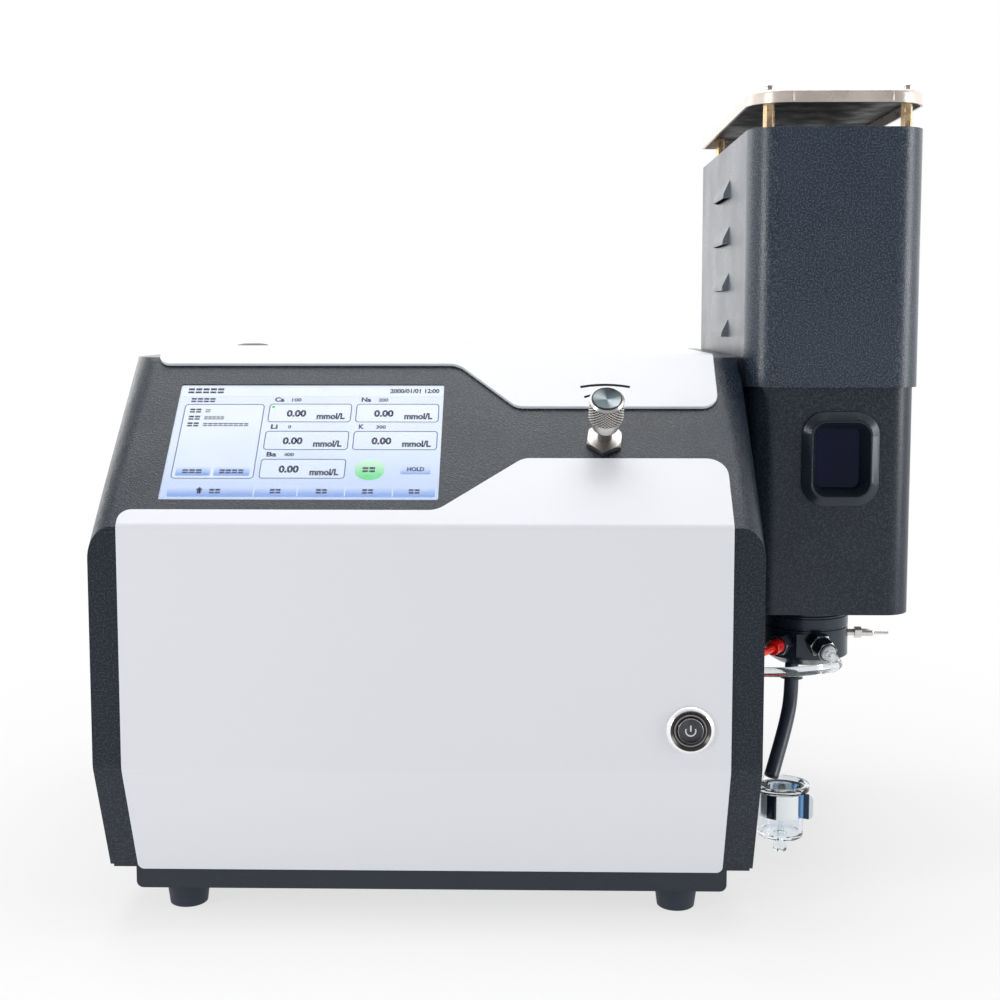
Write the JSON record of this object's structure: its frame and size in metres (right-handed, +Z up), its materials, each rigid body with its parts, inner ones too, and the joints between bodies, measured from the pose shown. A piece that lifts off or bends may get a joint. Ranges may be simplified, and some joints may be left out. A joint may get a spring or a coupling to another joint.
{
  "type": "flame photometer",
  "caption": "Bench flame photometer: sloped-front console with touch screen, tuning valve and power button, and a side burner tower with lift-off chimney, flame window and drain cup.",
  "frame": {"origin": "on the bench, under the middle of the whole instrument", "axes": "+Z up, -Y out of the front with the screen, +X towards the burner tower"},
  "size_m": [0.48, 0.3814, 0.4836],
  "materials": {
    "black_coat": "fine texture",
    "white_coat": "satin",
    "black_anodised": "satin",
    "stainless": "brushed",
    "scorched_steel": "heat-stained",
    "chrome": "polished",
    "nickel": "polished",
    "aluminium": "satin",
    "brass": "satin",
    "black_rubber": "matte",
    "black_plastic": "matte",
    "gloss_black_plastic": "gloss",
    "red_plastic": "gloss",
    "clear_tube": "gloss",
    "clear_acrylic": "clear",
    "cover_glass": "clear",
    "cobalt_glass": "dark blue",
    "filter_glass": "tinted",
    "display": "screen",
    "circuit_board": "satin",
    "ceramic": "matte"
  },
  "bodies": {
    "console": {"base_tray": "black_coat", "rubber_feet": "black_rubber", "case_screws": "stainless", "outer_shell": "black_coat", "front_panel": "white_coat", "top_cover": "white_coat", "rear_panel": "black_coat", "touch_glass": "cover_glass", "lcd_module": "display", "lcd_bracket": "aluminium", "button_bezel": "chrome", "button_nut": "nickel", "switch_block": "black_plastic", "valve_body": "nickel", "valve_nut": "nickel", "main_board": "circuit_board", "power_supply": "aluminium", "ignition_coil": "black_plastic", "gas_solenoid": "brass", "detector_block": "black_anodised", "optical_filters": "filter_glass", "photodiodes": "nickel", "focus_lens": "cover_glass", "light_tube": "black_anodised", "power_inlet": "black_plastic", "inlet_pins": "nickel", "fuel_inlet": "brass", "regulator_body": "black_anodised", "regulator_bowl": "clear_acrylic", "air_inlet": "brass", "tower_bracket": "black_coat", "burner_housing": "black_coat", "window_bezel": "black_anodised", "window_glass": "cobalt_glass", "mixing_chamber": "black_anodised", "burner_head": "stainless", "flame_chimney": "stainless", "igniter_electrode": "ceramic", "nebulizer_body": "stainless", "nebulizer_capillary": "stainless", "fuel_fitting": "black_anodised", "air_fitting": "black_anodised", "hose_grommets": "black_rubber", "fuel_hose": "red_plastic", "air_hose": "clear_tube", "drain_fitting": "black_anodised", "drain_hose": "black_rubber", "drain_cup": "clear_acrylic", "cup_clip": "chrome", "cup_bracket": "black_coat"},
    "chimney": {"chimney_sleeve": "black_coat", "heat_shield": "scorched_steel", "shield_standoffs": "brass", "shield_screws": "stainless"},
    "power_button": {"button_cap": "gloss_black_plastic"},
    "tuning_knob": {"fine_knob": "nickel", "needle_spindle": "stainless", "knob_set_screw": "black_coat"},
    "pressure_knob": {"regulator_knob": "black_plastic"},
    "fuse_carrier": {"fuse_drawer": "black_plastic"}
  },
  "joints": [
    {"name": "chimney_lift", "type": "slide", "parent": "console", "child": "chimney", "axis": [0, 0, 1], "range_m": [0, 0.15]},
    {"name": "power_press", "type": "slide", "parent": "console", "child": "power_button", "axis": [0, 1, 0], "range_m": [0, 0.0025], "stiffness_N_per_m": 800},
    {"name": "tuning_turn", "type": "hinge", "parent": "console", "child": "tuning_knob", "pos_m": [0.0439, -0.14268, 0.27626], "axis": [0, -0.6947, 0.7193], "range_deg": [-900, 900]},
    {"name": "pressure_turn", "type": "hinge", "parent": "console", "child": "pressure_knob", "pos_m": [-0.2153, 0.17, 0.31], "axis": [0, 0, 1], "range_deg": [-540, 540]},
    {"name": "fuse_pull", "type": "slide", "parent": "console", "child": "fuse_carrier", "axis": [0, 1, 0], "range_m": [0, 0.012]}
  ]
}
